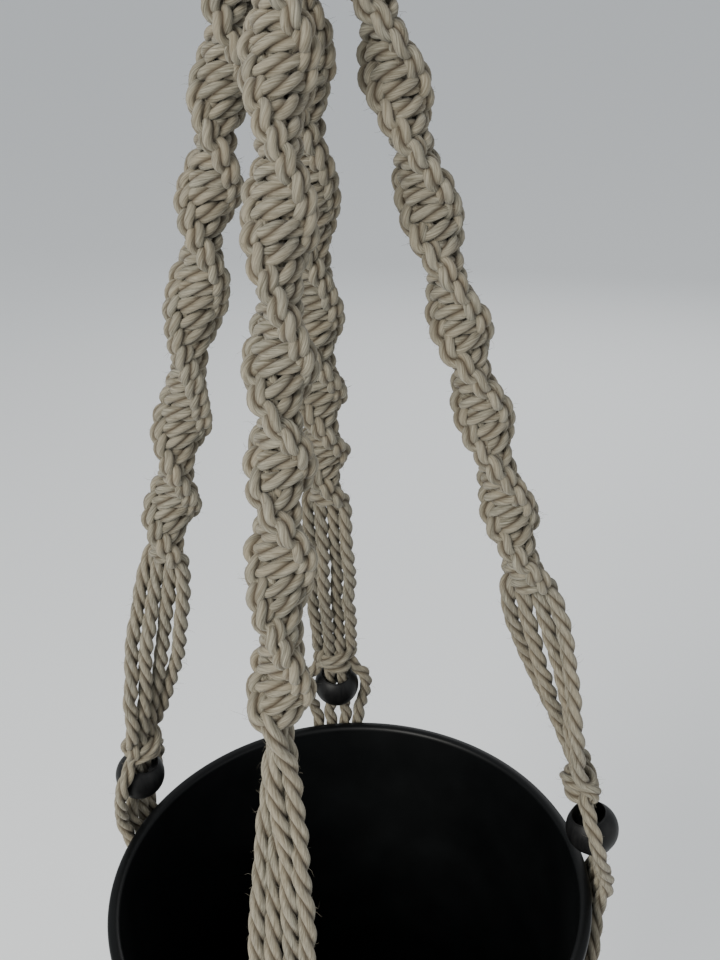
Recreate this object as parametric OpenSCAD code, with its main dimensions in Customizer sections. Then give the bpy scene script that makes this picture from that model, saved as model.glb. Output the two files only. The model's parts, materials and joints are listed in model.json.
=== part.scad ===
// Hanging macrame planter: a black pot held by four knotted cotton arms under one ring.
// Millimetres, +Z up. The origin is the centre of the ring, where a hook carries the planter.

/* [Ring] */
// Inside diameter of the hanging ring
ring_inner_d = 52; // [46:1:70]
// Thickness of the ring's round section
ring_wire_d = 9; // [7:0.5:10]

/* [Cord] */
// Diameter of the three-ply cotton cord
cord_d = 4.6; // [4:0.1:4.8]
// Sides of each cord's tube
cord_sides = 8; // [8:1:10]

/* [Arms] */
// Direction of the front arm, in degrees from +X
front_az = -104; // [-108:1:-100]
// Direction of the right arm
right_az = -2; // [-6:1:2]
// Direction of the back arm
back_az = 91; // [87:1:95]
// Direction of the left arm
left_az = 154; // [150:1:158]
// Height of the point above the rim where the four arms would meet
apex_over_rim = 315; // [310:1:320]
// Height above the rim where the spirals stop and the plain cords start
spiral_end = 106; // [100:1:115]
// Widest measure across a spiral of half knots
lobe_w = 15.6; // [14:0.2:16]
// Thickness of a spiral, from front bars to back bars
lobe_t = 9.6; // [9:0.2:10]
// Height of one half knot
knot_pitch = 3.85; // [3.8:0.05:4.5]

/* [Beads] */
// Diameter of each bead
bead_d = 16; // [15:0.5:16]
// Diameter of the hole through a bead
bead_bore_d = 9.8; // [9.6:0.1:10]
// Height of the bead's centre above the rim
bead_over_rim = 17.5; // [17:0.5:24]

/* [Pot] */
// Outside diameter of the pot at its rim
pot_d = 150; // [149:0.5:151]
// Outside diameter of the pot at its base
pot_base_d = 116; // [112:1:118]
// Height of the pot
pot_h = 132; // [128:1:134]
// Thickness of the pot's wall
pot_wall = 4; // [3:0.5:5]
// Distance from the ring's centre down to the rim
rim_drop = 378; // [377:1:381]

/* [Net and tassel] */
// Distance from the rim down to the middle of the net knots
net_drop = 68; // [64:1:72]
// Length of each gathering wrap
wrap_h = 35; // [33:1:36]
// Length of the tassel below its pivot
tassel_h = 130; // [90:5:170]

/* [Hidden] */

cotton = "#cdc5b6";
black_wood = "#17181a";
black_glaze = "#101214";

cord_r = cord_d / 2;
side_by_side = cord_d + 0.1;
ring_wire_r = ring_wire_d / 2;
ring_r = ring_inner_d / 2 + ring_wire_r;
hang_z = -ring_r;

rim_z = -rim_drop;
apex_z = rim_z + apex_over_rim;
bead_z = rim_z + bead_over_rim;
arm_slope = pot_d / 2 / (apex_over_rim - bead_over_rim);
arm_tilt = atan(arm_slope);
arm_az = [front_az, right_az, back_az, left_az];
spiral_end_z = rim_z + spiral_end;

bundle_r = 12.2;
wrap_bore_r = 12.4;
wrap_top_z = -60;
wrap_bottom_z = wrap_top_z - wrap_h;
fold_top_z = wrap_top_z + 8;

// Heights of the widest places of each spiral, counted down from the ring's centre.
// From one to the next the chain of half knots makes half a turn.
lobes = [
    [118, 133, 163, 193, 213, 234, 265, 273],
    [118, 140, 168, 196, 219, 247, 273],
    [118, 136, 169, 205, 230, 252, 273],
    [118, 141, 164, 189, 226, 252, 273]
];
// Turn of the chain at those heights, in half turns
lobe_turns = [
    [-0.6, 0, 1, 2, 3, 4, 5, 5.5],
    [-0.9, 0, 1, 2, 3, 4, 5],
    [-0.6, 0, 1, 2, 3, 4, 5],
    [-1, 0, 1, 2, 3, 4, 4.9]
];

// Height of the middle of each arm's square knot above its bead's centre
knot_over_bead = [14.5, 19.5, 14.5, 13.5];

// Four cords side by side
four = [-1.5, -0.5, 0.5, 1.5];

knot_h = 10;
net_z = rim_z - net_drop;
pot_bottom_z = rim_z - pot_h;
taper = (pot_d - pot_base_d) / 2 / pot_h;
wall_gap = 0.6;
foot_top_z = pot_bottom_z - 42;
foot_wrap_bottom_z = foot_top_z - wrap_h;
tassel_pivot_z = foot_wrap_bottom_z - 13.5;
tassel_r = 12;

// Vector helpers
function unit(v) = v / norm(v);
function along(a, b, t) = a + (b - a) * t;
function radial(az) = [cos(az), sin(az), 0];
function tangent(az) = [-sin(az), cos(az), 0];

// A route with extra points, so that none of its steps is longer than step
function finer(path, step) = [
    for (i = [0 : len(path) - 2])
        let (n = ceil(norm(path[i + 1] - path[i]) / step))
        for (k = [0 : n - 1]) along(path[i], path[i + 1], k / n),
    path[len(path) - 1]
];

// Direction of a route at its point i
function heading(path, i) = unit(path[min(i + 1, len(path) - 1)] - path[max(i - 1, 0)]);

// One ring of points round a route's point, square to it; side gives the ring its roll
function ring_at(path, i, r, sides, side) =
    let (t = heading(path, i), u = unit(cross(t, side)), v = cross(t, u))
    [for (k = [0 : sides - 1]) path[i] + r * (cos(360 * k / sides) * u + sin(360 * k / sides) * v)];

// A closed solid through a list of rings with equal numbers of points
module skin(rings) {
    n = len(rings[0]);
    last = len(rings) - 1;
    points = [for (ring = rings) each ring];
    walls = [
        for (i = [0 : last - 1])
            for (k = [0 : n - 1])
                let (a = i * n + k, b = i * n + (k + 1) % n)
                each [[a, b, b + n], [a, b + n, a + n]]
    ];
    caps = [[for (k = [n - 1 : -1 : 0]) k], [for (k = [0 : n - 1]) last * n + k]];
    polyhedron(points, concat(walls, caps), convexity = 4);
}

// A cord along a route
module tube(path, side, r = cord_r, step = 12) {
    p = finer(path, step);
    skin([for (i = [0 : len(p) - 1]) ring_at(p, i, r, cord_sides, side)]);
}

// The line that arm i follows from the top wrap to its bead, at height z
function arm_centre(i, z) = radial(arm_az[i]) * (apex_z - z) * arm_slope + [0, 0, z];

// A point by the pot's wall: its azimuth, its height, its stand-off from the wall
function by_wall(az, z, off, across) =
    radial(az) * (pot_d / 2 - max(0, rim_z - z) * taper + off) + tangent(az) * across + [0, 0, z];

// Middle direction between arm i and the next arm round
function net_az(i) =
    let (a = arm_az[i], b = arm_az[(i + 1) % 4])
    a + ((b - a + 720) % 360) / 2;

// Outline of a knotted chain: wide across its bars, flat front and back
function chain_ring(centre, w, t, turn) = [
    for (k = [0 : 11])
        let (a = 30 * k, c = cos(a), s = sin(a),
            x = w / 2 * sign(c) * pow(abs(c), 0.7), y = t / 2 * sign(s) * pow(abs(s), 0.7))
        centre + [x * cos(turn) - y * sin(turn), x * sin(turn) + y * cos(turn), 0]
];

// Turn of arm i's chain at height z, in degrees
function chain_turn(i, z) =
    180 * lookup(-z, [for (k = [0 : len(lobes[i]) - 1]) [lobes[i][k], lobe_turns[i][k]]]);

// Ring that hangs on a hook
module hanging_ring() {
    color(black_wood)
        rotate([90, 0, 0])
            rotate_extrude($fn = 96)
                translate([ring_r, 0])
                    circle(r = ring_wire_r, $fn = 48);
}

// Turns of a gathering wrap, one above the other, round a bundle
module wrap(top_z) {
    turns = floor(wrap_h / side_by_side);
    pitch = wrap_h / turns;
    mid_r = wrap_bore_r + cord_r;
    color(cotton)
        translate([0, 0, top_z - wrap_h])
            rotate_extrude($fn = 64)
                union() {
                    translate([wrap_bore_r, 0])
                        square([cord_r, wrap_h]);
                    for (k = [0 : turns - 1])
                        translate([mid_r, pitch * (k + 0.5)])
                            circle(r = pitch / 2 - 0.01, $fn = 24);
                }
}

module top_wrap() {
    wrap(wrap_top_z);
}

module bottom_wrap() {
    wrap(foot_top_z);
}

// Eight cords folded over the ring in two layers
module head_cords() {
    inner_r = ring_wire_r + 0.8 + cord_r;
    color(cotton)
        for (layer = [0, 1])
            for (x = four * side_by_side) {
                r = inner_r + layer * (side_by_side + 0.2);
                y = (0.5 + layer) * side_by_side;
                fold_z = -sqrt(ring_r * ring_r - x * x);
                tube(concat(
                    [[x, -y, fold_top_z - 0.3], [x, -r, fold_z - 3]],
                    [for (a = [0 : 15 : 180]) [x, -r * cos(a), fold_z + r * sin(a)]],
                    [[x, r, fold_z - 3], [x, y, fold_top_z - 0.3]]),
                    [1, 0, 0], r = cord_r - 0.1);
            }
}

// The same cords squeezed together inside the top wrap
module head_bundle() {
    color(cotton)
        translate([0, 0, wrap_bottom_z])
            cylinder(r = bundle_r, h = fold_top_z - wrap_bottom_z, $fn = 48);
}

// One arm's chain of half knots, with the plain start that leaves the wrap
module spiral(i) {
    start_z = -lobes[i][0];
    count = round((start_z - spiral_end_z) / knot_pitch);
    step = (start_z - spiral_end_z) / count / 2;
    start_w = 7.6;
    color(cotton)
        skin(concat(
            [for (z = [wrap_bottom_z + 0.3, start_z + 4])
                chain_ring(arm_centre(i, z), start_w, start_w, chain_turn(i, start_z))],
            [for (k = [0 : 2 * count])
                let (z = start_z - k * step, slim = k % 2 == 0 ? 0.92 : 1)
                chain_ring(arm_centre(i, z), lobe_w * slim, lobe_t * slim, chain_turn(i, z))]
        ));
}

// Four plain cords from the end of a spiral to the square knot
module strands(i) {
    top_turn = chain_turn(i, spiral_end_z);
    side_turn = arm_az[i] + 90;
    drift = ((side_turn - top_turn) % 180 + 270) % 180 - 90;
    color(cotton)
        for (u = four)
            tube([for (k = [0 : 6])
                let (t = k / 6, z = spiral_end_z + 1 + t * (knot_z(i) + 3 - spiral_end_z - 1),
                    a = top_turn + drift * t, w = side_by_side * (1.03 + 0.2 * sin(180 * t)))
                arm_centre(i, z) + u * w * [cos(a), sin(a), 0]],
                [cos(side_turn), sin(side_turn), 0.3]);
}

function knot_z(i) = bead_z + knot_over_bead[i];

// Square knot above a bead: two bars across the front, two across the back
module square_knot(centre, turn) {
    color(cotton)
        skin([for (k = [0 : 6])
            let (t = k / 6, slim = [0.8, 1, 0.96, 0.9, 0.96, 1, 0.8][k])
            chain_ring(centre + [0, 0, knot_h * (0.5 - t)], lobe_w * slim, lobe_t * slim, turn)]);
}

module arm_knot(i) {
    square_knot(arm_centre(i, knot_z(i)), arm_az[i] + 90);
}

// Black wooden bead threaded on an arm's two inner cords
module bead(i) {
    color(black_wood)
        translate(arm_centre(i, bead_z))
            rotate([0, 0, arm_az[i]])
                rotate([0, -arm_tilt, 0])
                    rotate_extrude($fn = 64)
                        difference() {
                            intersection() {
                                circle(d = bead_d, $fn = 64);
                                translate([0, -bead_d])
                                    square([bead_d, bead_d * 2]);
                            }
                            square([bead_bore_d, bead_d * 2], center = true);
                        }
}

// Half of an arm's cords below the square knot: an outer cord round the bead and an inner
// cord through it, then both along the wall to one net knot. way is -1 or 1.
module drop(i, way) {
    az = arm_az[i];
    goal = way > 0 ? net_az(i) : net_az((i + 3) % 4);
    across = tangent(az) * way;
    foot_z = net_z + knot_h / 2 - 2;
    inner_r = bead_bore_d / 4 - 0.35;
    outer_in_bead = bead_d / 2 + cord_r + 0.5;
    color(cotton) {
        tube(concat(
            [arm_centre(i, knot_z(i) - 3) + across * 1.5 * side_by_side,
                arm_centre(i, bead_z + 8) + across * (outer_in_bead - 0.6),
                arm_centre(i, bead_z) + across * outer_in_bead,
                arm_centre(i, bead_z - 8) + across * (outer_in_bead - 1)],
            wall_route(az, goal, foot_z, way, 0.5)), radial(az), step = 11);
        tube(concat(
            [arm_centre(i, knot_z(i) - 3) + across * (inner_r + 0.2),
                arm_centre(i, bead_z - 10) + across * (inner_r + 0.2)],
            wall_route(az, goal, foot_z, way, -0.5)), radial(az), r = inner_r, step = 11);
    }
}

// Route down the wall from arm azimuth az to the net knot at azimuth goal. side is 0.5 for
// the outer cord and -0.5 for the inner one, which lie further apart where they slant.
function wall_route(az, goal, foot_z, way, side) =
    let (turn = (goal - az + 540) % 360 - 180, start_z = rim_z - 8, fall = start_z - foot_z,
        off = cord_r + wall_gap, lean = pot_d * PI / 360 * abs(turn) / fall)
    concat([by_wall(az, rim_z + 1, off + 1.2, way * (1.15 + side) * side_by_side)],
        [for (k = [0 : 8])
            let (t = k / 8, swing = 0.6 * t + 0.4 * t * t * (3 - 2 * t),
                rate = lean * (0.6 + 2.4 * t * (1 - t)), gap = side_by_side * sqrt(1 + rate * rate))
            by_wall(az + turn * swing, start_z - t * fall, off,
                way * (side_by_side * (1 - 2 * t) + side * gap))]);

module net_knot(i) {
    square_knot(by_wall(net_az(i), net_z, lobe_t / 2 + wall_gap, 0), net_az(i) + 90);
}

// Four cords from a net knot, round the foot of the pot and in to the bottom wrap
module base_cords(i) {
    az = net_az(i);
    off = cord_r + wall_gap;
    base_r = pot_base_d / 2;
    color(cotton)
        for (u = four * side_by_side)
            tube([
                by_wall(az, net_z - knot_h / 2 + 2, off + 1, u),
                by_wall(az, pot_bottom_z + 12, off, u),
                by_wall(az, pot_bottom_z + 3, off, u),
                radial(az) * (base_r + 0.5) + tangent(az) * u + [0, 0, pot_bottom_z - 4.5],
                radial(az) * 16.5 + tangent(az) * u + [0, 0, foot_top_z + 4.5]
            ], radial(az), r = cord_r - 0.1);
}

// The sixteen cords squeezed together inside the bottom wrap
module foot_bundle() {
    color(cotton)
        translate([0, 0, foot_wrap_bottom_z])
            rotate_extrude($fn = 48)
                polygon([[0, 0], [bundle_r, 0], [bundle_r, wrap_h + 0.5], [17.5, wrap_h + 3],
                    [17.5, wrap_h + 5], [12, wrap_h + 9], [0, wrap_h + 11]]);
}

// Cut ends of the cords, hanging from the bottom wrap; the round top is the pivot
module tassel() {
    dome = [for (a = [90 : -10 : 0]) tassel_r * [cos(a), sin(a)]];
    color(cotton)
        translate([0, 0, tassel_pivot_z])
            rotate_extrude($fn = 48)
                polygon(concat(dome,
                    [[tassel_r, -20], [tassel_r + 2, -70], [tassel_r + 5, -tassel_h], [0, -tassel_h]]));
}

// Tapered pot with a round rim and a round foot
module pot() {
    r1 = pot_d / 2;
    r2 = pot_base_d / 2;
    foot_round = 5;
    half = pot_wall / 2;
    inner_top = r1 - pot_wall;
    inner_foot = r2 - pot_wall - 1;
    color(black_glaze)
        translate([0, 0, pot_bottom_z])
            rotate_extrude($fn = 128)
                polygon(concat(
                    [[0, 0]],
                    [for (a = [-90 : 15 : 0]) [r2 - foot_round + foot_round * cos(a),
                        foot_round + foot_round * sin(a)]],
                    [for (a = [0 : 20 : 180]) [r1 - half + half * cos(a), pot_h - half + half * sin(a)]],
                    [for (a = [0 : -15 : -90]) [inner_foot - 4 + 4 * cos(a), pot_wall + 5 + 4 * sin(a)]],
                    [[0, pot_wall + 1]]));
}

hanging_ring();
top_wrap();
head_cords();
head_bundle();
pot();
spiral(0);  // spiral_front
spiral(1);  // spiral_right
spiral(2);  // spiral_back
spiral(3);  // spiral_left
strands(0);  // strands_front
strands(1);  // strands_right
strands(2);  // strands_back
strands(3);  // strands_left
arm_knot(0);  // square_knot_front
arm_knot(1);  // square_knot_right
arm_knot(2);  // square_knot_back
arm_knot(3);  // square_knot_left
bead(0);  // bead_front
bead(1);  // bead_right
bead(2);  // bead_back
bead(3);  // bead_left
drop(0, -1);  // drop_front_a
drop(1, -1);  // drop_right_a
drop(2, -1);  // drop_back_a
drop(3, -1);  // drop_left_a
drop(0, 1);  // drop_front_b
drop(1, 1);  // drop_right_b
drop(2, 1);  // drop_back_b
drop(3, 1);  // drop_left_b
net_knot(0);  // net_knot_front_right
net_knot(1);  // net_knot_right_back
net_knot(2);  // net_knot_back_left
net_knot(3);  // net_knot_left_front
base_cords(0);  // base_cords_front_right
base_cords(1);  // base_cords_right_back
base_cords(2);  // base_cords_back_left
base_cords(3);  // base_cords_left_front
foot_bundle();
bottom_wrap();
tassel();
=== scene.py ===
import bpy
import json
import math
from itertools import permutations
import numpy as np
from mathutils import Matrix, Vector


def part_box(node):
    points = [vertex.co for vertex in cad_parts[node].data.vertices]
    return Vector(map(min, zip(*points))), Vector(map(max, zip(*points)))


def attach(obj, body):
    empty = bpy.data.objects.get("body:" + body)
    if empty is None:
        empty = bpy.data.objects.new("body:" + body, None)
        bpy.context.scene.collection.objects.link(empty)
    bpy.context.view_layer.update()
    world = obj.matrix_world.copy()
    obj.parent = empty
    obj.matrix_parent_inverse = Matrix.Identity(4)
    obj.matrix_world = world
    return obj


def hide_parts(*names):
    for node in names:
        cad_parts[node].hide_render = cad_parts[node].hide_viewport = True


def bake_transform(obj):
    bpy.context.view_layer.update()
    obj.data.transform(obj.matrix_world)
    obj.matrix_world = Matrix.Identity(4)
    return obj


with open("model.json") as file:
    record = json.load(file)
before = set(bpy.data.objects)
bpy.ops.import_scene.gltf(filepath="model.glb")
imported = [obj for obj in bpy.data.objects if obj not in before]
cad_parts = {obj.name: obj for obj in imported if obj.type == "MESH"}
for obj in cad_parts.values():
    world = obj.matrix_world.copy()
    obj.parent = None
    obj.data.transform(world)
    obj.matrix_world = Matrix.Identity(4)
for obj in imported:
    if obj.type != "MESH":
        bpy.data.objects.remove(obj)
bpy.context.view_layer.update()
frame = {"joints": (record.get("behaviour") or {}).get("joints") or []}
mm = 0.001


# Small helpers

def nodeBox(name):
    low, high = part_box(name)
    return np.array(low) / mm, np.array(high) / mm


def unit(v):
    return v / np.linalg.norm(v)


def radial(angle):
    return np.array([math.cos(angle), math.sin(angle), 0.0])


def tangent(angle):
    return np.array([-math.sin(angle), math.cos(angle), 0.0])


def easeInOut(t):
    return t * t * (3 - 2 * t)


def newMesh(name, points, faces):
    mesh = bpy.data.meshes.new(name)
    mesh.from_pydata((np.asarray(points) * mm).tolist(), [], faces)
    mesh.validate()
    mesh.polygons.foreach_set("use_smooth", [True] * len(mesh.polygons))
    mesh.update()
    piece = bpy.data.objects.new(name, mesh)
    bpy.context.scene.collection.objects.link(piece)
    return piece


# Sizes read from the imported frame

armNames = ["front", "right", "back", "left"]
gapNames = ["front_right", "right_back", "back_left", "left_front"]
potLow, potHigh = nodeBox("pot")
rimZ = potHigh[2]
potBottomZ = potLow[2]
potRadius = (potHigh[0] - potLow[0]) / 2
topWrapLow, topWrapHigh = nodeBox("top_wrap")
footWrapLow, footWrapHigh = nodeBox("bottom_wrap")
ringLow, ringHigh = nodeBox("hanging_ring")
ringWire = (ringHigh[1] - ringLow[1]) / 2
ringMid = ringHigh[0] - ringWire
tasselLow = nodeBox("tassel")[0]
joints = {j["name"]: j for j in frame["joints"]}

beadPlace = []
beadAxis = []
for armName in armNames:
    joint = joints["bead_" + armName + "_turn"]
    beadPlace.append(np.array(joint["pos_m"]) / mm)
    beadAxis.append(np.array(joint["axis"]))
armAngle = [math.atan2(p[1], p[0]) for p in beadPlace]
armSlope = math.hypot(*beadAxis[0][:2]) / abs(beadAxis[0][2])
beadZ = beadPlace[0][2]
apexZ = beadZ + math.hypot(*beadPlace[0][:2]) / armSlope
knotPlace = [sum(nodeBox("square_knot_" + a)) / 2 for a in armNames]
netPlace = [sum(nodeBox("net_knot_" + g)) / 2 for g in gapNames]
netAngle = [math.atan2(p[1], p[0]) for p in netPlace]
potBaseRadius = 58.0   # of its foot
wallTaper = (potRadius - potBaseRadius) / (rimZ - potBottomZ)
print("frame read: rim at", round(rimZ, 1), "arms meet at", round(apexZ, 1))


def armCentre(arm, z):
    return radial(armAngle[arm]) * (apexZ - z) * armSlope + np.array([0, 0, z])


def byWall(angle, z, off, across):
    reach = potRadius - max(0.0, rimZ - z) * wallTaper + off
    return radial(angle) * reach + tangent(angle) * across + np.array([0, 0, z])


# Camera

cameraSettings = {
    "place": (3.0, -249.0, -109.2),   # mm, in front of the arms and well above the rim
    "downwards": 27.4,                # degrees below level
    "sideways": 1.3,                  # degrees to the right
    "roll": -2.4,
    "lens": 41.25,
}


def makeCamera(s):
    down, side, roll = (math.radians(s[k]) for k in ("downwards", "sideways", "roll"))
    ahead = Vector((math.sin(side) * math.cos(down), math.cos(side) * math.cos(down), -math.sin(down)))
    right = Vector((math.cos(side), -math.sin(side), 0))
    up = right.cross(ahead)
    rolledRight = right * math.cos(roll) + up * math.sin(roll)
    rolledUp = up * math.cos(roll) - right * math.sin(roll)
    data = bpy.data.cameras.new("camera")
    data.lens = s["lens"]
    data.clip_start = 0.01
    camera = bpy.data.objects.new("camera", data)
    bpy.context.scene.collection.objects.link(camera)
    turn = Matrix((rolledRight, rolledUp, -ahead)).transposed()
    camera.matrix_world = Matrix.Translation(Vector(s["place"]) * mm) @ turn.to_4x4()
    bpy.context.scene.camera = camera


makeCamera(cameraSettings)


# Materials

def startMaterial(name):
    material = bpy.data.materials.new(name)
    material.use_nodes = True
    nodes = material.node_tree.nodes
    nodes.clear()
    shader = nodes.new("ShaderNodeBsdfPrincipled")
    output = nodes.new("ShaderNodeOutputMaterial")
    material.node_tree.links.new(shader.outputs[0], output.inputs[0])
    return material, nodes, material.node_tree.links, shader


def addNode(nodes, kind, values=None, **settings):
    node = nodes.new("ShaderNode" + kind)
    for key, value in settings.items():
        setattr(node, key, value)
    for key, value in (values or {}).items():
        node.inputs[key].default_value = value
    return node


def noiseTexture(nodes, links, place, **values):
    # Its inputs are named in the plain form: scale, detail, roughness, distortion
    texture = addNode(nodes, "TexNoise", {key.title(): value for key, value in values.items()})
    links.new(place, texture.inputs["Vector"])
    return texture.outputs["Fac"]


def toneRamp(nodes, links, factor, low, high):
    # low and high: where on the noise, and the colour there
    ramp = addNode(nodes, "ValToRGB")
    for element, (position, colour) in zip(ramp.color_ramp.elements, (low, high)):
        element.position = position
        element.color = colour
    links.new(factor, ramp.inputs["Fac"])
    return ramp.outputs["Color"]


def stretchRange(nodes, links, value, before, after):
    ranged = addNode(nodes, "MapRange", {"From Min": before[0], "From Max": before[1],
                                         "To Min": after[0], "To Max": after[1]})
    links.new(value, ranged.inputs["Value"])
    return ranged.outputs["Result"]


def mixIn(nodes, links, share, below, colour):
    mix = addNode(nodes, "MixRGB", {"Color2": colour}, blend_type="MIX")
    links.new(share, mix.inputs["Fac"])
    links.new(below, mix.inputs["Color1"])
    return mix.outputs["Color"]


def addBump(nodes, links, shader, height, strength, distance):
    bump = addNode(nodes, "Bump", {"Strength": strength, "Distance": distance})
    links.new(height, bump.inputs["Height"])
    links.new(bump.outputs["Normal"], shader.inputs["Normal"])


cottonSettings = {
    "dark": (0.34, (0.066, 0.06, 0.044, 1)),
    "light": (0.76, (0.345, 0.323, 0.255, 1)),
    "streaks": {"scale": 3.2, "detail": 5.0, "roughness": 0.65},
    "patches": {"scale": 0.35, "detail": 3.0, "roughness": 0.6},
    "warm": (0.25, 0.205, 0.138, 1),
    "warmFrom": (0.35, 0.75),
    "warmShare": (0.0, 0.55),
    # Painted shade: the creases between the plies are darkened in the cord's colour itself
    "paintedCreaseTone": (0.045, 0.031, 0.018, 1),
    "paintedCreaseFrom": (0.25, 1.0),
    "paintedCreaseShare": (0.0, 0.92),
    "bump": (0.55, 0.00025),
    "roughness": 0.95,
    "sheen": 0.12,
    "sheenRoughness": 0.5,
    "gloss": 0.2,
}


def makeCotton(s):
    material, nodes, links, shader = startMaterial("cottonCord")
    place = addNode(nodes, "Attribute", attribute_name="fibrePlace").outputs["Vector"]
    paintedCreaseShade = addNode(nodes, "Attribute", attribute_name="paintedCreaseShade").outputs["Fac"]
    streaks = noiseTexture(nodes, links, place, **s["streaks"])
    patches = noiseTexture(nodes, links, place, **s["patches"])
    tone = toneRamp(nodes, links, streaks, s["dark"], s["light"])
    warmShare = stretchRange(nodes, links, patches, s["warmFrom"], s["warmShare"])
    tone = mixIn(nodes, links, warmShare, tone, s["warm"])
    # Painted shade: the colour darkens towards the creases between the plies
    paintedCreaseShare = stretchRange(nodes, links, paintedCreaseShade, s["paintedCreaseFrom"], s["paintedCreaseShare"])
    tone = mixIn(nodes, links, paintedCreaseShare, tone, s["paintedCreaseTone"])
    links.new(tone, shader.inputs["Base Color"])
    addBump(nodes, links, shader, streaks, *s["bump"])
    shader.inputs["Roughness"].default_value = s["roughness"]
    shader.inputs["Sheen Weight"].default_value = s["sheen"]
    shader.inputs["Sheen Roughness"].default_value = s["sheenRoughness"]
    shader.inputs["Specular IOR Level"].default_value = s["gloss"]
    return material


woodSettings = {
    "stretch": (900, 900, 120),
    "grain": {"scale": 1.0, "detail": 6.0, "roughness": 0.6, "distortion": 0.6},
    "dark": (0.35, (0.0025, 0.0026, 0.003, 1)),
    "light": (0.75, (0.009, 0.0088, 0.0086, 1)),
    "roughness": (0.38, 0.58),
    "bump": (0.35, 0.0001),
    "gloss": 0.22,
}


def makeBlackWood(s):
    material, nodes, links, shader = startMaterial("blackWood")
    place = addNode(nodes, "TexCoord").outputs["Object"]
    stretch = addNode(nodes, "Mapping", {"Scale": s["stretch"]})
    links.new(place, stretch.inputs["Vector"])
    grain = noiseTexture(nodes, links, stretch.outputs["Vector"], **s["grain"])
    links.new(toneRamp(nodes, links, grain, s["dark"], s["light"]), shader.inputs["Base Color"])
    links.new(stretchRange(nodes, links, grain, (0, 1), s["roughness"]), shader.inputs["Roughness"])
    addBump(nodes, links, shader, grain, *s["bump"])
    shader.inputs["Specular IOR Level"].default_value = s["gloss"]
    return material


satinSettings = {
    "mottle": {"scale": 60.0, "detail": 4.0},
    "fine": {"scale": 1400.0, "detail": 3.0},
    "dark": (0.3, (0.0016, 0.0019, 0.0021, 1)),
    "light": (0.7, (0.0028, 0.0033, 0.0036, 1)),
    "roughness": (0.36, 0.5),
    "bump": (0.12, 0.0001),
    "gloss": 0.18,
}


def makeBlackPot(s):
    material, nodes, links, shader = startMaterial("satinBlackPot")
    place = addNode(nodes, "TexCoord").outputs["Object"]
    mottle = noiseTexture(nodes, links, place, **s["mottle"])
    fine = noiseTexture(nodes, links, place, **s["fine"])
    links.new(toneRamp(nodes, links, mottle, s["dark"], s["light"]), shader.inputs["Base Color"])
    links.new(stretchRange(nodes, links, mottle, (0, 1), s["roughness"]), shader.inputs["Roughness"])
    addBump(nodes, links, shader, fine, *s["bump"])
    shader.inputs["Specular IOR Level"].default_value = s["gloss"]
    return material


cotton = makeCotton(cottonSettings)
blackWood = makeBlackWood(woodSettings)
blackPot = makeBlackPot(satinSettings)
print("materials made")


# The cord itself

cordSettings = {
    "diameter": 4.6,
    "lay": 20.0,          # one full turn of the three plies
    "plyOffset": 0.49,    # centre of a ply from the cord's centre, in cord radii
    "around": 24,
    "step": 0.8,
    "rounding": 1.25,     # mm
    # How unevenly it is laid: each with the length of its waves in mm
    "twistDrift": (0.06, 60),
    "swell": (0.035, 24),
    "plySwell": (0.05, 15),
    "fibreStretch": 0.09,
}
cordD = cordSettings["diameter"]
cordR = cordD / 2


def smoothRoute(knots):
    # Catmull-Rom spline through the points; the columns after x, y, z go along with them
    step = cordSettings["step"]
    knots = np.asarray(knots, float)
    ends = np.vstack([2 * knots[0] - knots[1], knots, 2 * knots[-1] - knots[-2]])
    gaps = np.linalg.norm(np.diff(ends[:, :3], axis=0), axis=1) ** 0.5
    t = np.concatenate([[0], np.cumsum(np.maximum(gaps, 1e-4))])
    out = []
    for i in range(1, len(ends) - 2):
        p0, p1, p2, p3 = ends[i - 1:i + 3]
        t0, t1, t2, t3 = t[i - 1:i + 3]
        n = max(2, int(np.linalg.norm(p2[:3] - p1[:3]) / step * 2))
        s = np.linspace(t1, t2, n, endpoint=False)[:, None]
        a1 = (t1 - s) / (t1 - t0) * p0 + (s - t0) / (t1 - t0) * p1
        a2 = (t2 - s) / (t2 - t1) * p1 + (s - t1) / (t2 - t1) * p2
        a3 = (t3 - s) / (t3 - t2) * p2 + (s - t2) / (t3 - t2) * p3
        b1 = (t2 - s) / (t2 - t0) * a1 + (s - t0) / (t2 - t0) * a2
        b2 = (t3 - s) / (t3 - t1) * a2 + (s - t1) / (t3 - t1) * a3
        out.append((t2 - s) / (t2 - t1) * b1 + (s - t1) / (t2 - t1) * b2)
    out.append(ends[-2:-1])
    dense = np.vstack(out)
    length = np.concatenate([[0], np.cumsum(np.linalg.norm(np.diff(dense[:, :3], axis=0), axis=1))])
    even = np.linspace(0, length[-1], max(8, int(length[-1] / step)))
    route = np.stack([np.interp(even, length, dense[:, k]) for k in range(dense.shape[1])], 1)
    # The cord is too stiff for sharp corners, so they are rounded a little
    spread = cordSettings["rounding"] / step
    reach = int(3 * spread) + 1
    weight = np.exp(-0.5 * (np.arange(-reach, reach + 1) / spread) ** 2)
    weight /= weight.sum()
    padded = np.pad(route, ((reach, reach), (0, 0)), mode="reflect", reflect_type="odd")
    return np.stack([np.convolve(padded[:, k], weight, "valid") for k in range(route.shape[1])], 1)


def rollingFrames(path):
    ahead = np.gradient(path, axis=0)
    ahead /= np.linalg.norm(ahead, axis=1)[:, None]
    side = np.zeros_like(path)
    start = np.cross(ahead[0], [0.3, 1.0, 0.2])
    side[0] = unit(start)
    for i in range(1, len(path)):
        side[i] = unit(side[i - 1] - ahead[i] * np.dot(side[i - 1], ahead[i]))
    return side, np.cross(ahead, side)


def slowNoise(along, rng, size, wave):
    waves = 4
    total = np.zeros_like(along)
    for _ in range(waves):
        total += np.sin(2 * math.pi * along / (wave * rng.uniform(0.6, 1.6)) + rng.uniform(0, 6.28))
    return size * (total / waves)


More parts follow.
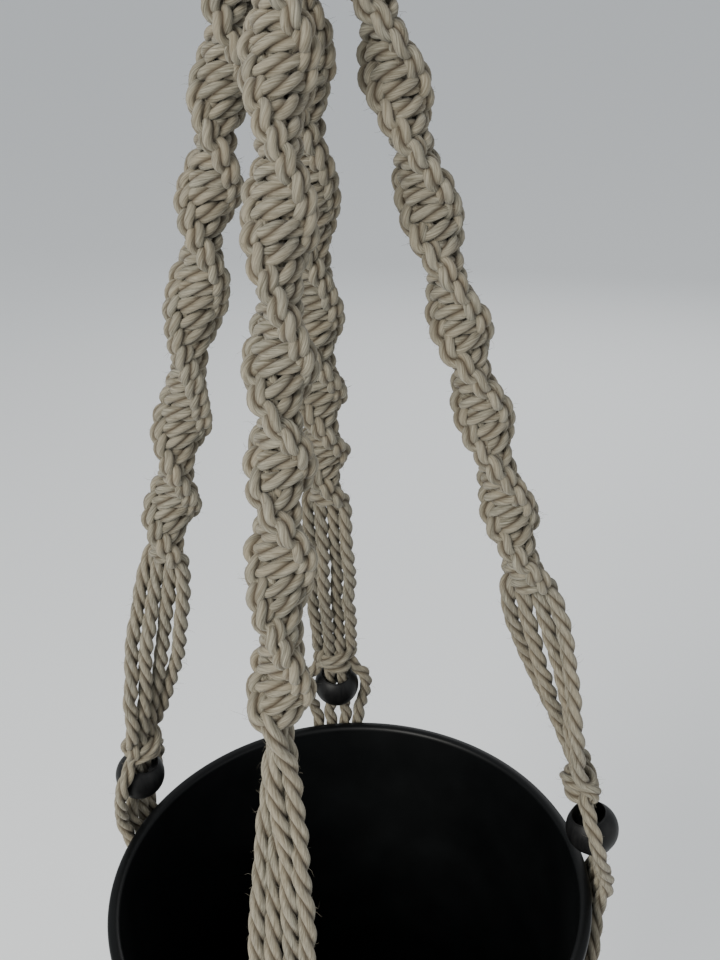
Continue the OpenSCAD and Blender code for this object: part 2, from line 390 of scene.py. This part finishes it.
def cordPiece(name, knots, seed):
    # knots: x, y, z and the share of the full thickness there
    s = cordSettings
    route = smoothRoute(knots)
    path, thick = route[:, :3], route[:, 3]
    rng = np.random.default_rng(seed)
    along = np.concatenate([[0], np.cumsum(np.linalg.norm(np.diff(path, axis=0), axis=1))])
    side, other = rollingFrames(path)
    turn = -2 * math.pi * (along / s["lay"] + slowNoise(along, rng, *s["twistDrift"]))
    n = s["around"]
    base = np.arange(n) * 2 * math.pi / n
    third = 2 * math.pi / 3
    wedge = (base + third / 2) % third - third / 2
    off, ply = s["plyOffset"], 1 - s["plyOffset"]
    outline = off * np.cos(wedge) + np.sqrt(ply ** 2 - (off * np.sin(wedge)) ** 2)
    swell = 1 + slowNoise(along, rng, *s["swell"])
    angle = base[None, :] + turn[:, None]
    plySwell = np.stack([1 + slowNoise(along, rng, *s["plySwell"]) for _ in range(3)], 1)
    plyOf = ((base + third / 2) // third).astype(int) % 3
    r = cordR * outline[None, :] * plySwell[:, plyOf] * (thick * swell)[:, None]
    points = path[:, None, :] + r[..., None] * (
        np.cos(angle)[..., None] * side[:, None, :] + np.sin(angle)[..., None] * other[:, None, :])
    rings = len(path)
    index = np.arange(rings * n).reshape(rings, n)
    a, b = index[:-1], index[1:]
    faces = np.stack([a, np.roll(a, -1, 1), np.roll(b, -1, 1), b], -1).reshape(-1, 4).tolist()
    faces.append(index[0][::-1].tolist())
    faces.append(index[-1].tolist())
    piece = newMesh(name, points.reshape(-1, 3), faces)
    # How deep each point lies in a crease between the plies, used to paint shade there
    paintedCreaseShade = (1 - outline) / (1 - outline.min())
    # Where each point lies among the fibres, so that streaks follow the plies; the seed keeps cords unlike
    fibreAlong = np.broadcast_to((along * s["fibreStretch"])[:, None], angle.shape) + seed * 7.3
    fibre = np.stack([cordR * np.cos(angle), cordR * np.sin(angle), fibreAlong], -1)
    mesh = piece.data
    mesh.attributes.new("paintedCreaseShade", "FLOAT", "POINT").data.foreach_set(
        "value", np.tile(paintedCreaseShade, rings).astype(np.float32))
    mesh.attributes.new("fibrePlace", "FLOAT_VECTOR", "POINT").data.foreach_set(
        "vector", fibre.reshape(-1).astype(np.float32))
    mesh.materials.append(cotton)
    return piece, path * mm, along[-1] * mm


# Knots

# One cord's way through one half knot, in cord diameters: x across the chain, y towards the
# back, z down. It crosses the front rising to the right, dips behind the other cord, comes
# out at the edge, runs down in front of the next bar's end and turns in behind it.
halfKnot = [
    (-0.74, -0.10, 0.34), (-0.60, -0.44, 0.18), (-0.22, -0.57, 0.05), (0.20, -0.57, -0.02),
    (0.54, -0.46, -0.05), (0.84, -0.12, -0.03), (1.06, 0.08, 0.02), (1.22, 0.02, 0.20),
    (1.25, -0.22, 0.44), (1.18, -0.46, 0.72), (1.02, -0.56, 1.00), (0.84, -0.32, 1.24),
]

# The two outer cords of a square knot; the first stays in front, the second behind
squareFront = [
    (-1.30, -0.05, -1.0), (-1.15, -0.20, -0.4), (-0.92, -0.50, 0.12), (-0.45, -0.74, 0.06),
    (0.0, -0.78, -0.02), (0.50, -0.70, -0.10), (0.92, -0.30, -0.16), (1.28, 0.05, 0.02), (1.30, 0.0, 0.45),
    (1.05, -0.35, 0.98), (0.5, -0.72, 1.06), (0.0, -0.78, 0.98), (-0.5, -0.70, 0.90),
    (-0.92, -0.30, 0.84), (-1.28, 0.05, 1.02), (-1.35, 0.02, 1.6),
]
squareBack = [
    (1.30, -0.30, -1.0), (1.20, -0.70, -0.45), (1.08, -0.72, 0.0), (0.98, -0.25, 0.38), (0.85, 0.35, 0.42),
    (0.45, 0.72, 0.28), (0.0, 0.78, 0.10), (-0.5, 0.70, -0.02), (-0.92, 0.30, -0.12),
    (-1.25, -0.20, -0.12), (-1.30, -0.62, 0.2), (-1.16, -0.80, 0.6), (-1.0, -0.66, 1.1),
    (-0.95, -0.1, 1.42), (-0.80, 0.45, 1.40), (-0.4, 0.74, 1.26), (0.0, 0.78, 1.08), (0.5, 0.70, 0.96),
    (0.92, 0.30, 0.86), (1.26, -0.05, 0.95), (1.35, -0.10, 1.6),
]

armSettings = {
    "wide": (1.12, 1.01, 1.06, 1.09),   # widening of the half knots: front, right, back and left arm
    "deep": 1.05,
    "pitch": 3.85,         # height of one half knot
    "knotThick": 0.99,
    "unevenSize": 0.025,
    "unevenHeight": 0.05,  # in half knots
    # Heights of the widest places of each spiral and the chain's turn there, in half turns
    "lobes": [
        [118, 133, 163, 193, 213, 234, 265, 273],
        [118, 140, 168, 196, 219, 247, 273],
        [118, 136, 169, 205, 230, 252, 273],
        [118, 141, 164, 189, 226, 252, 273],
    ],
    "turns": [
        [-0.6, 0, 1, 2, 3, 4, 5, 5.5],
        [-0.9, 0, 1, 2, 3, 4, 5],
        [-0.6, 0, 1, 2, 3, 4, 5],
        [-1, 0, 1, 2, 3, 4, 4.9],
    ],
}
spiralStart = -armSettings["lobes"][0][0]
spiralEnd = nodeBox("spiral_front")[0][2]
halfKnots = round((spiralStart - spiralEnd) / armSettings["pitch"])
pitch = (spiralStart - spiralEnd) / halfKnots


def chainTurn(arm, z):
    return math.pi * np.interp(-z, armSettings["lobes"][arm], armSettings["turns"][arm])


def chainPoint(arm, x, y, z):
    turn = chainTurn(arm, z)
    c, s = math.cos(turn), math.sin(turn)
    return armCentre(arm, z) + np.array([x * c - y * s, x * s + y * c, 0.0])


def spiralKnots(arm, way):
    # way 1 starts at the left of the first half knot, way -1 at the right
    s = armSettings
    out = []
    rng = np.random.default_rng(40 + arm)
    wobble = rng.normal(0, 1, (halfKnots + 1, 3))
    for k in range(halfKnots):
        flip = way * (1 if k % 2 == 0 else -1)
        size = cordD * (1 + s["unevenSize"] * wobble[k, 1])
        for x, y, h in halfKnot:
            # The last half knot is only its bar
            if k == halfKnots - 1 and h > 0.1:
                continue
            z = spiralStart - (k + 0.5 + h) * pitch - s["unevenHeight"] * pitch * wobble[k, 0]
            # Both cords come into the first one from above
            if k == 0 and h > 0.1 and x < 0:
                z += pitch * 0.5
            place = chainPoint(arm, flip * x * size * s["wide"][arm], flip * y * size * s["deep"], z)
            out.append([*place, s["knotThick"]])
    return out


print("knots described:", halfKnots, "half knots in each spiral")


# The routes of the long cords

# Places are listed from the ring down to the tassel, with the share of the full thickness there
routeSettings = {
    "foldGap": 0.8,        # between the ring's wire and the inner layer of folds
    "layerGap": 4.9,
    "foldThick": 0.97,
    "bundleThick": 0.98,
    "fillerApart": 0.42,   # of the two straight cords from the chain's middle, in diameters
    "fillerThick": 0.98,
    "squareThick": 0.95,
    "cornerOut": 6.65,     # middle of a bundle's corner, and its cells from there
    "cellOut": 2.35,
    "strandSpread": (0.98, 0.95, 0.82, 0.92),   # of the plain strands, by arm
    "strandBow": 0.06,
    "strandStray": 0.07,
    "clumped": (0,),       # arms whose strands leave the spiral two and two
    "clumpTight": 0.9,
    "beadOuter": 10.8,     # of the outer and inner cords from the bead's axis
    "beadInner": 2.3,
    "innerThick": 0.91,
    "wallGap": 0.6,
    "footReach": 17.5,     # from the axis, where the cords come down into the bottom wrap
    "tasselSpread": 1.30,
}
columns = [-1.5, -0.5, 0.5, 1.5]
sideBySide = cordD + 0.1
netKnotZ = netPlace[0][2]
footTopZ = footWrapHigh[2]
footEndZ = footWrapLow[2]
wrapTopZ = topWrapHigh[2]
wrapEndZ = topWrapLow[2]


def foldRoute(column, layer, way):
    # Half a fold over the ring's wire and its leg down to the top wrap
    s = routeSettings
    x = columns[column] * sideBySide
    r = ringWire + s["foldGap"] + cordR + layer * s["layerGap"]
    foldZ = -math.sqrt(ringMid ** 2 - x * x)
    out = []
    for a in np.radians([0, 22, 45, 68, 90]):
        out.append([x, way * r * math.sin(a), foldZ + r * math.cos(a), s["foldThick"]])
    y = (0.5 + layer) * sideBySide
    out.append([x, way * r, foldZ - 3, s["foldThick"]])
    out.append([x, way * (y + 0.5), wrapTopZ + 9, s["bundleThick"]])
    out.append([x, way * y, wrapTopZ + 1, s["bundleThick"]])
    return out


def bundleCells(firstAngle):
    # A four by four bundle, divided into four corners: for each the two side cells, the outer and the inner
    s = routeSettings
    corners = []
    for k in range(4):
        q = math.radians(firstAngle + 90 * k)
        middle = radial(q) * s["cornerOut"]
        a = radial(q + math.pi / 4) * s["cellOut"]
        b = radial(q - math.pi / 4) * s["cellOut"]
        corners.append({"back": middle + b - a, "ahead": middle + a - b,
                        "outer": middle + a + b, "inner": middle - a - b})
    return corners


topCells = bundleCells(-95)
footCells = bundleCells(-50)


def fillerRoute(arm, way):
    out = []
    for k in range(2 * halfKnots + 1):
        z = spiralStart - k * pitch / 2
        x = -way * routeSettings["fillerApart"] * cordD
        out.append([*chainPoint(arm, x, 0, z), routeSettings["fillerThick"]])
    return out


def strandPlan(arm):
    # Turn of the row of four cords at the spiral's end, and how far it turns down to the square knot
    top = chainTurn(arm, spiralEnd)
    goal = armAngle[arm] + math.pi / 2
    return top, (goal - top + math.pi / 2) % math.pi - math.pi / 2


def keepsSides(arm):
    # -1 if the row comes to the square knot the other way round, 1 if not
    top, drift = strandPlan(arm)
    return 1 if math.cos(top + drift - armAngle[arm] - math.pi / 2) > 0 else -1


def strandRoute(arm, place, seed):
    s = routeSettings
    top, drift = strandPlan(arm)
    knotTop = knotPlace[arm][2] + 5
    apart = s["strandSpread"][arm]
    rng = np.random.default_rng(seed)
    out = []
    for k in range(1, 8):
        t = k / 8
        z = spiralEnd - 3 + t * (knotTop - spiralEnd + 3)
        bow = math.sin(math.pi * t)
        if arm in s["clumped"]:
            # Two and two at the spiral's end, the front pair coming round to the right of the back pair
            spread = min(1, 1.4 * t)
            outer = abs(place) > 1
            a = top + drift - math.radians(45 if outer else 135) * (1 - spread)
            reach = 0.707 + (0.793 if outer else -0.207) * spread
            offset = math.copysign(reach, place) * sideBySide * s["clumpTight"] * radial(a)
        else:
            a = top + drift * t
            offset = place * sideBySide * (apart + s["strandBow"] * bow) * radial(a)
            # Cords that lie closer than side by side go by turns to the front and the back
            depth = 0.5 * math.sqrt(1 - apart ** 2) * (1 if place in (-1.5, 0.5) else -1)
            offset += depth * sideBySide * bow * tangent(a)
        stray = rng.normal(0, s["strandStray"], 2) * cordD * bow
        out.append([*(armCentre(arm, z) + offset + [stray[0], stray[1], 0]), 1.0])
    return out


def squareRoute(centre, turn, lean, points):
    # turn: of the knot's width; lean: how far it moves sideways for each mm that it rises
    c, s = math.cos(turn), math.sin(turn)
    out = []
    for x, y, h in points:
        x, y = x * cordD, y * cordD
        rise = (0.5 - h) * pitch
        place = centre + [x * c - y * s, x * s + y * c, rise] + lean * rise
        out.append([*place, routeSettings["squareThick"]])
    return out


def straightThrough(centre, turn, lean, x):
    out = []
    for h in (-0.9, -0.2, 0.5, 1.2, 1.9):
        rise = (0.5 - h) * pitch
        place = centre + radial(turn) * x + [0, 0, rise] + lean * rise
        out.append([*place, routeSettings["fillerThick"]])
    return out


def wallRoute(arm, way, part):
    # part 0.5 is the cord that comes round the bead, -0.5 the one that comes through it
    goal = netAngle[arm] if way > 0 else netAngle[(arm + 3) % 4]
    turn = (goal - armAngle[arm] + math.pi) % (2 * math.pi) - math.pi
    startZ, endZ = rimZ - 8, netKnotZ + 3
    fall = startZ - endZ
    off = cordR + routeSettings["wallGap"]
    lean = potRadius * abs(turn) / fall
    out = [[*byWall(armAngle[arm], rimZ + 1, off + 1.2, way * (1.15 + part) * sideBySide), 1.0]]
    for k in range(8):
        t = k / 8
        # Share of the way round that is done, how steeply it goes on, and the cords' spacing on that slant
        swing = 0.6 * t + 0.4 * easeInOut(t)
        rate = lean * (0.6 + 2.4 * t * (1 - t))
        gap = sideBySide * math.sqrt(1 + rate * rate)
        across = way * (sideBySide * (1 - 2 * t) + part * gap)
        out.append([*byWall(armAngle[arm] + turn * swing, startZ - t * fall, off, across), 1.0])
    return out


def baseRoute(gap, place):
    angle = netAngle[gap]
    off = cordR + routeSettings["wallGap"]
    u = place * sideBySide
    out = [[*byWall(angle, netKnotZ - 9, off + 0.6, u), 1.0]]
    for z in (netKnotZ - 25, netKnotZ - 40, potBottomZ + 10, potBottomZ + 4):
        out.append([*byWall(angle, z, off, u), 1.0])
    edge = radial(angle) * (potBaseRadius - 0.3) + tangent(angle) * u
    out.append([edge[0], edge[1], potBottomZ - 1.0, 1.0])
    for t in (0.2, 0.5, 0.8, 1.0):
        reach = (potBaseRadius - 3) + (routeSettings["footReach"] - potBaseRadius + 3) * t
        spot = radial(angle) * reach + tangent(angle) * u * (1 - 0.1 * t)
        sag = 1.2 * math.sin(math.pi * t)
        out.append([spot[0], spot[1], potBottomZ - 6 + (footTopZ + 5 - potBottomZ + 6) * t - sag, 1.0])
    return out


def tasselRoute(cell, seed):
    s = routeSettings
    rng = np.random.default_rng(seed)
    lean = rng.normal(0, 1.0, 2)
    end = tasselLow[2] + rng.uniform(0, 7)
    out = [[cell[0], cell[1], z, s["bundleThick"]] for z in (footTopZ - 4, footEndZ + 3)]
    steps = 7
    for k in range(1, steps + 1):
        t = k / steps
        grow = 1 + (s["tasselSpread"] - 1) * t ** 0.7
        wave = 0.7 * math.sin(2.2 * math.pi * t + rng.uniform(0, 6.28)) * min(1, 2 * t)
        z = footEndZ - 2 + (end - footEndZ + 2) * t
        out.append([cell[0] * grow + lean[0] * t + wave, cell[1] * grow + lean[1] * t - wave, z, 1.0])
    return out


def halfCord(arm, role, way, cell):
    # One half of a long cord, from its fold on the ring down to its cut end
    s = routeSettings
    working = role == "working"
    seed = 100 * arm + (10 if working else 20) + (1 if way > 0 else 2)
    out = foldRoute(arm, 1 if working else 0, way)
    out.append([cell[0], cell[1], wrapEndZ + 3, s["bundleThick"]])
    out += spiralKnots(arm, way) if working else fillerRoute(arm, way)
    out += strandRoute(arm, -way * (1.5 if working else 0.5), seed)
    # hand: the side of the square knot and the bead that it comes down on
    hand = -way * keepsSides(arm)
    lean = -radial(armAngle[arm]) * armSlope
    turn = armAngle[arm] + math.pi / 2
    centre = armCentre(arm, knotPlace[arm][2])
    sideways = tangent(armAngle[arm]) * hand
    if working:
        out += squareRoute(centre, turn, lean, squareFront if hand < 0 else squareBack)
        for dz, less in ((6, 1.2), (3.5, 0.2), (0, 0), (-3.5, 0.2), (-7, 0.9)):
            out.append([*(armCentre(arm, beadZ + dz) + sideways * (s["beadOuter"] - less)), 1.0])
        out += wallRoute(arm, hand, 0.5)
    else:
        out += straightThrough(centre, turn, lean, hand * s["fillerApart"] * cordD)
        for dz in (8, 3, -3, -9):
            out.append([*(armCentre(arm, beadZ + dz) + sideways * s["beadInner"]), s["innerThick"]])
        out += wallRoute(arm, hand, -0.5)
    # At the net knot it comes in from the other side, and the cords that went round the bead run straight
    gap = arm if hand > 0 else (arm + 3) % 4
    side = -hand
    centre = byWall(netAngle[gap], netKnotZ, cordD * 1.02 + s["wallGap"], 0)
    lean = radial(netAngle[gap]) * wallTaper
    turn = netAngle[gap] + math.pi / 2
    if working:
        out += straightThrough(centre, turn, lean, side * s["fillerApart"] * cordD)
        out += baseRoute(gap, side * 0.5)
        footCell = footCells[gap]["outer" if side > 0 else "inner"]
    else:
        out += squareRoute(centre, turn, lean, squareFront if side < 0 else squareBack)
        out += baseRoute(gap, side * 1.5)
        footCell = footCells[gap]["ahead" if side > 0 else "back"]
    out += tasselRoute(footCell, seed)
    return out


def shareCells(arm):
    # Gives the four cords of an arm the cells of the bundle that lie nearest to where they leave it
    starts = [route[0][:2] for route in (spiralKnots(arm, 1), spiralKnots(arm, -1),
                                         fillerRoute(arm, 1), fillerRoute(arm, -1))]
    cells = list(topCells[arm].values())
    shift = armCentre(arm, spiralStart)[:2] * 0.5

    def cost(order):
        away = [np.array(start) - cells[cell][:2] - shift for start, cell in zip(starts, order)]
        return sum(np.linalg.norm(v) ** 2 for v in away)

    best = min(permutations(range(4)), key=cost)
    return [cells[k] for k in best]


cordPieces = []
for arm in range(4):
    cells = shareCells(arm)
    for role, first in (("working", 0), ("filler", 2)):
        ahead = halfCord(arm, role, 1, cells[first])
        behind = halfCord(arm, role, -1, cells[first + 1])
        knots = ahead[::-1] + behind[1:]
        name = role + "_cord_" + armNames[arm]
        piece, path, length = cordPiece(name, knots, 5 * arm + (1 if role == "working" else 3))
        print(name, "is", round(length, 3), "m, faces", len(piece.data.polygons))
        cordPieces.append((piece, path, length))

hiddenNodes = ["head_cords", "head_bundle", "foot_bundle", "tassel"]
for armName in armNames:
    hiddenNodes += ["spiral_" + armName, "strands_" + armName, "square_knot_" + armName]
    hiddenNodes += ["drop_" + armName + "_a", "drop_" + armName + "_b"]
for gapName in gapNames:
    hiddenNodes += ["net_knot_" + gapName, "base_cords_" + gapName]
for piece, path, length in cordPieces:
    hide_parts(*hiddenNodes)
    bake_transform(piece)
print("long cords made")


# Loose fibres standing off the cords

fuzzSettings = {
    # Highest and lowest place of each piece, and how many fibres it has
    "arms": (-100, -345, 16000),
    "net": (-345, -585, 6000),
    "tassel": (-592, -724, 3000),
    "shortest": 0.7,
    "longest": 3.0,
    "radius": 0.034,
    "taper": (1, 0.9, 0.4),
    "inside": 0.85,        # where a fibre starts, in cord radii from the cord's centre
    "lean": (0.3, 1.6),
    "bend": 0.7,
    "beadClear": (9.0, 10.0),   # of a fibre's start and of its tip from a bead's centre
}


def nearPot(points, above, off):
    reach = np.linalg.norm(points[:, :2], axis=1)
    wall = potRadius - np.maximum(0, rimZ - points[:, 2]) * wallTaper
    level = (points[:, 2] < rimZ + above) & (points[:, 2] > potBottomZ - above)
    return level & (reach < wall + off)


def fuzzPiece(region, seed):
    s = fuzzSettings
    highest, lowest, count = s[region]
    rng = np.random.default_rng(seed)
    at = np.vstack([path[1:-1] / mm for _, path, _ in cordPieces])
    ahead = np.vstack([(path[2:] - path[:-2]) / mm for _, path, _ in cordPieces])
    within = np.flatnonzero((at[:, 2] < highest) & (at[:, 2] > lowest))
    pick = rng.choice(within, count)
    at, ahead = at[pick], ahead[pick]
    ahead /= np.linalg.norm(ahead, axis=1)[:, None]
    out = np.cross(ahead, rng.normal(0, 1, at.shape))
    out /= np.linalg.norm(out, axis=1)[:, None]
    lean = ahead * rng.choice([-1, 1], (len(at), 1)) * rng.uniform(*s["lean"], (len(at), 1))
    size = s["shortest"] + (s["longest"] - s["shortest"]) * rng.random((len(at), 1)) ** 2.5
    bend = rng.normal(0, s["bend"], at.shape)
    first = out + 0.5 * lean
    start = at + out * cordR * s["inside"]
    halfway = start + first * size * 0.5
    tip = start + first * size * 0.6 + (0.3 * out + lean * 0.5 + bend * 0.5) * size * 0.5
    keep = ~(nearPot(tip, 4, 0.4) | nearPot(start, 4, 0.2))
    for place in beadPlace:
        keep &= np.linalg.norm(start - place, axis=1) > s["beadClear"][0]
        keep &= np.linalg.norm(tip - place, axis=1) > s["beadClear"][1]
    # Each fibre is a bent three-sided rod of two stretches
    upward = ahead[keep]
    sideways = np.cross(upward, out[keep])
    points = []
    for p, thin in zip((start, halfway, tip), s["taper"]):
        r = s["radius"] * thin
        for k in range(3):
            a = 2 * math.pi * k / 3
            points.append(p[keep] + r * (math.cos(a) * sideways + math.sin(a) * upward))
    points = np.stack(points, 1).reshape(-1, 3)
    base = np.arange(int(keep.sum()))[:, None] * 9
    faces = []
    for step in (0, 3):
        for k in range(3):
            quad = np.array([step + k, step + (k + 1) % 3, step + 3 + (k + 1) % 3, step + 3 + k])
            faces.append(base + quad)
    piece = newMesh("loose_fibres_" + region, points, np.vstack(faces).tolist())
    piece.data.materials.append(cotton)
    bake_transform(piece)
    print("loose fibres on the", region, int(keep.sum()))


for seed, region in enumerate(("arms", "net", "tassel")):
    fuzzPiece(region, 70 + seed)


# The two gathering wraps

wrapSettings = {
    "boreRadius": 12.4,
    "turns": 7,
    "tuck": 10.6,          # of the hidden ends from the axis
    "tuckThick": 0.9,
    "thick": 0.99,
    "perTurn": 24,
}


def wrapPiece(name, topZ, endZ, node, seed):
    s = wrapSettings
    middle = s["boreRadius"] + cordR
    rise = (topZ - endZ) / s["turns"]
    out = [[s["tuck"], -6, topZ - 9, s["tuckThick"]], [s["tuck"] + 0.6, -3.0, topZ - 4, s["tuckThick"]]]
    turnsMade = s["turns"] - 1
    steps = turnsMade * s["perTurn"]
    for k in range(steps + 1):
        a = 2 * math.pi * turnsMade * k / steps + 0.12
        z = topZ - rise * 0.5 - rise * turnsMade * k / steps
        out.append([*(radial(a) * middle)[:2], z, s["thick"]])
    out.append([*(radial(a + 0.5) * (middle - 2.5))[:2], endZ + rise * 0.5 + 0.6, s["tuckThick"]])
    out.append([*(radial(a + 0.8) * s["tuck"])[:2], endZ + 8, s["tuckThick"]])
    piece, path, length = cordPiece(name, out, seed)
    print(name, "is", round(length, 3), "m")
    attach(piece, "cordwork")
    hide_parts(node)


wrapPiece("top_wrap_cord", wrapTopZ, wrapEndZ, "top_wrap", 61)
wrapPiece("bottom_wrap_cord", footTopZ, footEndZ, "bottom_wrap", 62)


# Ring, beads and pot

def lathe(name, outline, around, material):
    # outline: radius and height, closed, turned round the Z axis
    outline = np.asarray(outline, float)
    n, m = around, len(outline)
    angles = np.arange(n) * 2 * math.pi / n
    points = np.stack([np.outer(np.cos(angles), outline[:, 0]), np.outer(np.sin(angles), outline[:, 0]),
                       np.tile(outline[:, 1], (n, 1))], -1).reshape(-1, 3)
    index = np.arange(n * m).reshape(n, m)
    a, b = index, np.roll(index, -1, 0)
    faces = np.stack([a, b, np.roll(b, -1, 1), np.roll(a, -1, 1)], -1).reshape(-1, 4).tolist()
    piece = newMesh(name, points, faces)
    piece.data.materials.append(material)
    return piece


def roundOff(corners, steps):
    # Polygon with rounded corners: each corner is radius, height, rounding
    out = []
    n = len(corners)
    for i in range(n):
        here = np.array(corners[i][:2], float)
        before = unit(np.array(corners[i - 1][:2], float) - here)
        after = unit(np.array(corners[(i + 1) % n][:2], float) - here)
        size = corners[i][2]
        if size == 0:
            out.append(here)
            continue
        half = math.acos(max(-1, min(1, float(np.dot(before, after))))) / 2
        tangentLength = size / math.tan(half)
        start, end = here + before * tangentLength, here + after * tangentLength
        for k in range(steps + 1):
            t = k / steps
            mid = (1 - t) ** 2 * start + 2 * t * (1 - t) * here + t * t * end
            out.append(mid)
    return out


potSettings = {
    "wall": 4.0,
    "floor": 5.0,
    "footRound": 5.0,
    "rimRound": 1.95,
    "floorRound": 4.0,
    "rows": 12,
    "axis": 0.01,          # radius of the closed middle
}


def wallRows(low, high, rows):
    # Places between two corners of the outline, without the corners themselves
    shares = [k / rows for k in range(1, rows)]
    return [(low[0] + (high[0] - low[0]) * t, low[1] + (high[1] - low[1]) * t, 0) for t in shares]


def makePot(s):
    h = rimZ - potBottomZ
    inner = potRadius - s["wall"]
    innerFoot = potBaseRadius - s["wall"] - 1
    corners = [(s["axis"], 0, 0), (potBaseRadius * 0.5, 0, 0), (potBaseRadius - 8, 0, 0)]
    corners.append((potBaseRadius, 0, s["footRound"]))
    corners += wallRows((potBaseRadius, 0), (potRadius, h), s["rows"])
    corners += [(potRadius, h, s["rimRound"]), (inner, h, s["rimRound"])]
    corners += wallRows((inner, h), (innerFoot, s["floor"]), s["rows"])
    corners.append((innerFoot, s["floor"], s["floorRound"]))
    corners += [(innerFoot * 0.5, s["floor"], 0), (s["axis"], s["floor"], 0)]
    outline = [(r, z + potBottomZ) for r, z in roundOff(corners, 8)]
    piece = lathe("plant_pot", outline, 192, blackPot)
    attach(piece, "pot")
    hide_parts("pot")


makePot(potSettings)

beadSettings = {
    "diameter": 16.0,
    "bore": 9.8,
    "edge": ((0.45, 0.03), (0.12, 0.25), (0.0, 0.7)),   # out from the bore and down from its end
    "edgeAngle": 0.07,
    "rows": 32,
    "boreRows": 8,
}


def makeBead(arm, s):
    r, bore = s["diameter"] / 2, s["bore"] / 2
    top = math.sqrt(r * r - bore * bore)
    limit = math.asin(top / r) - s["edgeAngle"]
    angles = [-limit + 2 * limit * k / s["rows"] for k in range(s["rows"] + 1)]
    edge = [(bore + outward, top - down) for outward, down in s["edge"]]
    outline = [(r * math.cos(a), r * math.sin(a)) for a in angles] + edge
    outline += [(bore, top * (1 - 2 * k / s["boreRows"]) * 0.85) for k in range(1, s["boreRows"])]
    outline += [(x, -z) for x, z in reversed(edge)]
    piece = lathe("wooden_bead_" + armNames[arm], outline, 72, blackWood)
    axis = unit(beadAxis[arm] * (1 if beadAxis[arm][2] > 0 else -1))
    turn = Vector((0, 0, 1)).rotation_difference(Vector(axis)).to_matrix().to_4x4()
    piece.data.transform(Matrix.Translation(Vector(beadPlace[arm] * mm)) @ turn)
    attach(piece, "bead_" + armNames[arm])
    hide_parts("bead_" + armNames[arm])


for arm in range(4):
    makeBead(arm, beadSettings)


def makeRing():
    angles = np.linspace(0, 2 * math.pi, 36, endpoint=False)
    outline = [(ringMid + ringWire * math.cos(a), ringWire * math.sin(a)) for a in angles]
    piece = lathe("hook_ring", outline, 144, blackWood)
    piece.data.transform(Matrix.Rotation(math.pi / 2, 4, "X"))
    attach(piece, "ring")
    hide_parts("hanging_ring")


makeRing()
print("ring, beads and pot made")


# Floor and light

roomSettings = {
    "floorDrop": 40.0,
    "floorSize": 30000.0,
    "floorTone": (0.86, 0.875, 0.88, 1),
    "floorRoughness": 0.9,
    "sky": (0.80, 0.83, 0.86, 1),
    "skyStrength": 0.75,
}


def makeRoom(s):
    z = tasselLow[2] - s["floorDrop"]
    w = s["floorSize"]
    floor = newMesh("floor", [(-w, -w, z), (w, -w, z), (w, w, z), (-w, w, z)], [(0, 1, 2, 3)])
    material, _, _, shader = startMaterial("paleFloor")
    shader.inputs["Base Color"].default_value = s["floorTone"]
    shader.inputs["Roughness"].default_value = s["floorRoughness"]
    floor.data.materials.append(material)
    world = bpy.data.worlds.new("room")
    world.use_nodes = True
    world.node_tree.nodes["Background"].inputs[0].default_value = s["sky"]
    world.node_tree.nodes["Background"].inputs[1].default_value = s["skyStrength"]
    bpy.context.scene.world = world


# In metres and watts
lampSettings = {
    "aim": (0, 0, -0.3),
    "keyLight": {"place": (-0.80, -1.05, 0.42), "size": 0.7, "power": 31, "tone": (1.0, 0.98, 0.92)},
    "fillLight": {"place": (1.25, -0.8, 0.05), "size": 1.0, "power": 4.0, "tone": (1, 1, 1)},
    "backLight": {"place": (0.5, 1.5, 0.25), "size": 1.0, "power": 6, "tone": (1, 1, 1)},
}


def softLight(name, aim, s):
    data = bpy.data.lights.new(name, "AREA")
    data.shape = "SQUARE"
    data.size = s["size"]
    data.energy = s["power"]
    data.color = s["tone"]
    lamp = bpy.data.objects.new(name, data)
    lamp.location = s["place"]
    lamp.rotation_euler = (Vector(aim) - Vector(s["place"])).to_track_quat("-Z", "Y").to_euler()
    bpy.context.scene.collection.objects.link(lamp)


makeRoom(roomSettings)
for name in ("keyLight", "fillLight", "backLight"):
    softLight(name, lampSettings["aim"], lampSettings[name])
print("room lit")
